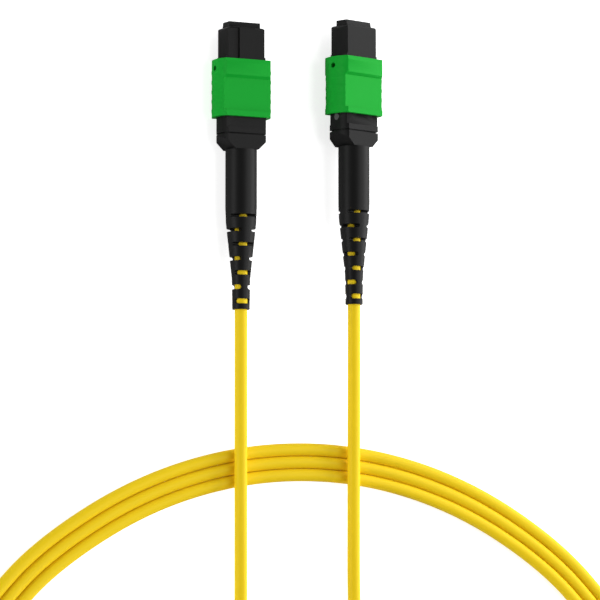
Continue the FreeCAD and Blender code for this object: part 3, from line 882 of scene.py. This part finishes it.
class CORD_OT_cable(Operator):
    """Lays the cable from one plug through the coil to the other"""

    bl_idname = "patch_cord.cable"
    bl_label = "Cable"

    def execute(self, context):
        sizes = context.scene.cord_sizes
        legs = [[tuple(c * MM for c in point) for point in leg] for leg in (LEG_A, LEG_B)]
        points = legs[0] + coil_points(sizes) + legs[1]
        curve = bpy.data.curves.new("cable", "CURVE")
        curve.dimensions = "3D"
        curve.bevel_depth = sizes.jacket_diameter / 2
        curve.bevel_resolution = 9
        curve.resolution_u = 16
        curve.use_fill_caps = True
        spline = curve.splines.new("NURBS")
        spline.points.add(len(points) - 1)
        for control, place in zip(spline.points, points):
            control.co = (*place, 1)
        spline.order_u = 3
        spline.use_endpoint_u = True
        cable = new_object("cable", curve)
        curve.materials.append(jacket_plastic(context.scene.cord_colours.jacket))
        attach(cable, HOUSING_BODY)
        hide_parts("cable_leg_a", "cable_leg_b", "cable_coil")
        return {"FINISHED"}


class CORD_OT_stage(Operator):
    """Sets the pale floor, the soft lights, the world and the camera"""

    bl_idname = "patch_cord.stage"
    bl_label = "Floor, lights and camera"

    def execute(self, context):
        self.floor()
        self.world(context.scene)
        aim = Vector((12.21, -31.76, 10.55)) * MM
        eye = Vector((-443.86, -124.89, 895.61)) * MM
        self.lamp("key", aim, (0.91, 0.20, 0.31), (1.5, 0.6), 12.2)
        self.lamp("upper", aim, (0.44, 0.04, 0.89), (0.6, 0.6), 3.7)
        self.lamp("side", aim, (-0.98, -0.12, 0.14), (1.2, 0.22), 5.0)
        self.camera(context.scene, eye, aim)
        context.scene.view_settings.view_transform = "Standard"
        return {"FINISHED"}

    def floor(self):
        """A white floor that keeps shadows and shows white to the camera."""
        half, level = 1.5, -0.05 * MM
        data = bpy.data.meshes.new("floor")
        corners = [(-half, -half, level), (half, -half, level), (half, half, level), (-half, half, level)]
        data.from_pydata(corners, [], [(0, 1, 2, 3)])
        graph = Graph("floor_white")
        rays = graph.add("ShaderNodeLightPath", output="Is Camera Ray")
        paper = graph.add("ShaderNodeBsdfDiffuse", {}, {"Color": (0.86, 0.86, 0.86, 1)})
        glow = graph.add("ShaderNodeEmission", {}, {"Color": (1, 1, 1, 1), "Strength": rays * 0.75})
        both = graph.add("ShaderNodeAddShader", {}, {0: paper, 1: glow})
        graph.add("ShaderNodeOutputMaterial", {}, {"Surface": both})
        data.materials.append(graph.material)
        new_object("floor", data)

    def world(self, scene):
        """An even white surround."""
        world = bpy.data.worlds.new("surround")
        world.use_nodes = True
        ground = world.node_tree.nodes["Background"]
        ground.inputs["Color"].default_value = (1, 1, 1, 1)
        ground.inputs["Strength"].default_value = 0.22
        scene.world = world

    def lamp(self, name, aim, way, size, power, distance=0.9):
        """A soft box that lies that way from the aim, with its width and height."""
        light = bpy.data.lights.new(name, "AREA")
        light.shape = "RECTANGLE"
        light.size, light.size_y = size
        light.energy = power
        made = new_object(name, light)
        way = Vector(way).normalized()
        made.location = aim + way * distance
        made.rotation_euler = way.to_track_quat("Z", "Y").to_euler()

    def camera(self, scene, eye, aim):
        """Looks down on the plugs from the side, with the plugs' direction straight up."""
        data = bpy.data.cameras.new("camera")
        data.lens = 255.3
        data.sensor_width = 36
        made = new_object("camera", data)
        back = (eye - aim).normalized()
        up = (Vector((0, 1, 0)) - back * back.y).normalized()
        right = up.cross(back)
        turn = Matrix((right, up, back)).transposed()
        made.matrix_world = Matrix.Translation(eye) @ turn.to_4x4()
        scene.camera = made


class CORD_PT_panel(Panel):
    """Lists the steps in the 3D view's sidebar"""

    bl_idname = "CORD_PT_panel"
    bl_label = "Patch Cord"
    bl_space_type = "VIEW_3D"
    bl_region_type = "UI"
    bl_category = "Patch Cord"

    def draw(self, context):
        for step in STEPS:
            self.layout.operator(step.bl_idname)
        for group in ("cord_sizes", "boot_sizes", "plug_sizes", "cord_colours"):
            values = getattr(context.scene, group)
            for name in values.__annotations__:
                self.layout.prop(values, name)


STEPS = (
    CORD_OT_boots,
    CORD_OT_housings,
    CORD_OT_sleeves,
    CORD_OT_ferrules,
    CORD_OT_springs,
    CORD_OT_inner_pieces,
    CORD_OT_dots,
    CORD_OT_cable,
    CORD_OT_stage,
)
GROUPS = {
    "cord_sizes": CordSizes,
    "boot_sizes": BootSizes,
    "plug_sizes": PlugSizes,
    "cord_colours": CordColours,
}


def register():
    for name, group in GROUPS.items():
        bpy.utils.register_class(group)
        setattr(bpy.types.Scene, name, PointerProperty(type=group))
    for step in STEPS:
        bpy.utils.register_class(step)
    bpy.utils.register_class(CORD_PT_panel)


def unregister():
    bpy.utils.unregister_class(CORD_PT_panel)
    for step in reversed(STEPS):
        bpy.utils.unregister_class(step)
    for name, group in GROUPS.items():
        delattr(bpy.types.Scene, name)
        bpy.utils.unregister_class(group)


def main():
    register()
    for step in STEPS:
        family, name = step.bl_idname.split(".")
        getattr(getattr(bpy.ops, family), name)()


if __name__ == "__main__":
    main()
